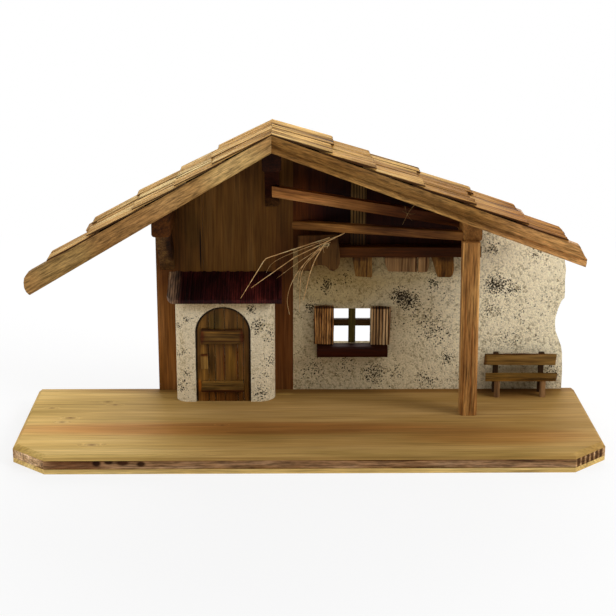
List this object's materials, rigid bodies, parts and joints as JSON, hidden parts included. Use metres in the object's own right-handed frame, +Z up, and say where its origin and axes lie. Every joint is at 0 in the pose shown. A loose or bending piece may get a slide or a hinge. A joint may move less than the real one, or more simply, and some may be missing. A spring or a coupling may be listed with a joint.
{
  "type": "wooden nativity stable",
  "caption": "Lean alpine barn for nativity figures: shingled roof, plaster wall with a shuttered window, porch with an arched door, post and bench on a layered base board.",
  "frame": {"origin": "centre of the base board's underside", "axes": "+X to the right along the base board's length, +Y towards the back wall, +Z up"},
  "size_m": [0.6, 0.2, 0.3219],
  "materials": {
    "base_pine": "planed and waxed, grain shows",
    "base_core": "end grain, sawn",
    "base_pale": "planed, unstained",
    "brown_board": "stained brown, matt",
    "dark_board": "stained dark brown, matt",
    "plaster": "board under a rough cream plaster coat with black specks",
    "canopy_bark": "split and stained near black, slight sheen",
    "door_wood": "stained, satin",
    "door_trim": "stained darker, satin",
    "window_wood": "stained light brown, matt",
    "shutter_wood": "rough sawn, stained, matt",
    "sill_wood": "stained dark red-brown, satin",
    "loft_beam": "stained brown, matt",
    "pale_batten": "raw, weathered",
    "frame_wood": "stained dark, matt",
    "post_wood": "planed, reddish brown, satin",
    "barge_wood": "planed, stained olive brown, satin",
    "roof_board": "raw softwood",
    "shingle": "split pine, matt, dark grain lines",
    "bench_wood": "stained dark brown, satin",
    "straw": "dry straw, faint gloss"
  },
  "bodies": {
    "root": {"base_top_layer": "base_pine", "base_core_layer": "base_core", "base_bottom_layer": "base_pale", "facade_boards": "brown_board", "plaster_wall": "plaster", "upper_back_board": "dark_board", "porch_block": "plaster", "porch_canopy": "canopy_bark", "door_planks": "door_wood", "door_upper_batten": "door_trim", "door_lower_batten": "door_trim", "door_lock_block": "door_trim", "window_mullion": "window_wood", "window_transom": "window_wood", "shutter_left": "shutter_wood", "shutter_right": "shutter_wood", "window_sill": "sill_wood", "wall_plate": "loft_beam", "loft_rail_upper": "loft_beam", "loft_rail_lower": "loft_beam", "loft_batten": "pale_batten", "joist_ends": "loft_beam", "apron_board_left": "loft_beam", "apron_boards_right": "loft_beam", "straw": "straw", "purlin_left": "frame_wood", "purlin_ridge": "frame_wood", "purlin_right": "frame_wood", "brace_left": "frame_wood", "brace_ridge": "frame_wood", "post": "post_wood", "barge_board_left": "barge_wood", "barge_board_right": "barge_wood", "roof_boards_left": "roof_board", "roof_boards_right": "roof_board", "shingles_left_1": "shingle", "shingles_left_2": "shingle", "shingles_left_3": "shingle", "shingles_left_4": "shingle", "shingles_left_5": "shingle", "shingles_right_1": "shingle", "shingles_right_2": "shingle", "shingles_right_3": "shingle", "shingles_right_4": "shingle", "shingles_right_5": "shingle", "shingles_right_6": "shingle", "bench_seat": "bench_wood", "bench_backrest": "bench_wood", "bench_back_posts": "bench_wood", "bench_front_legs": "bench_wood"}
  },
  "joints": []
}
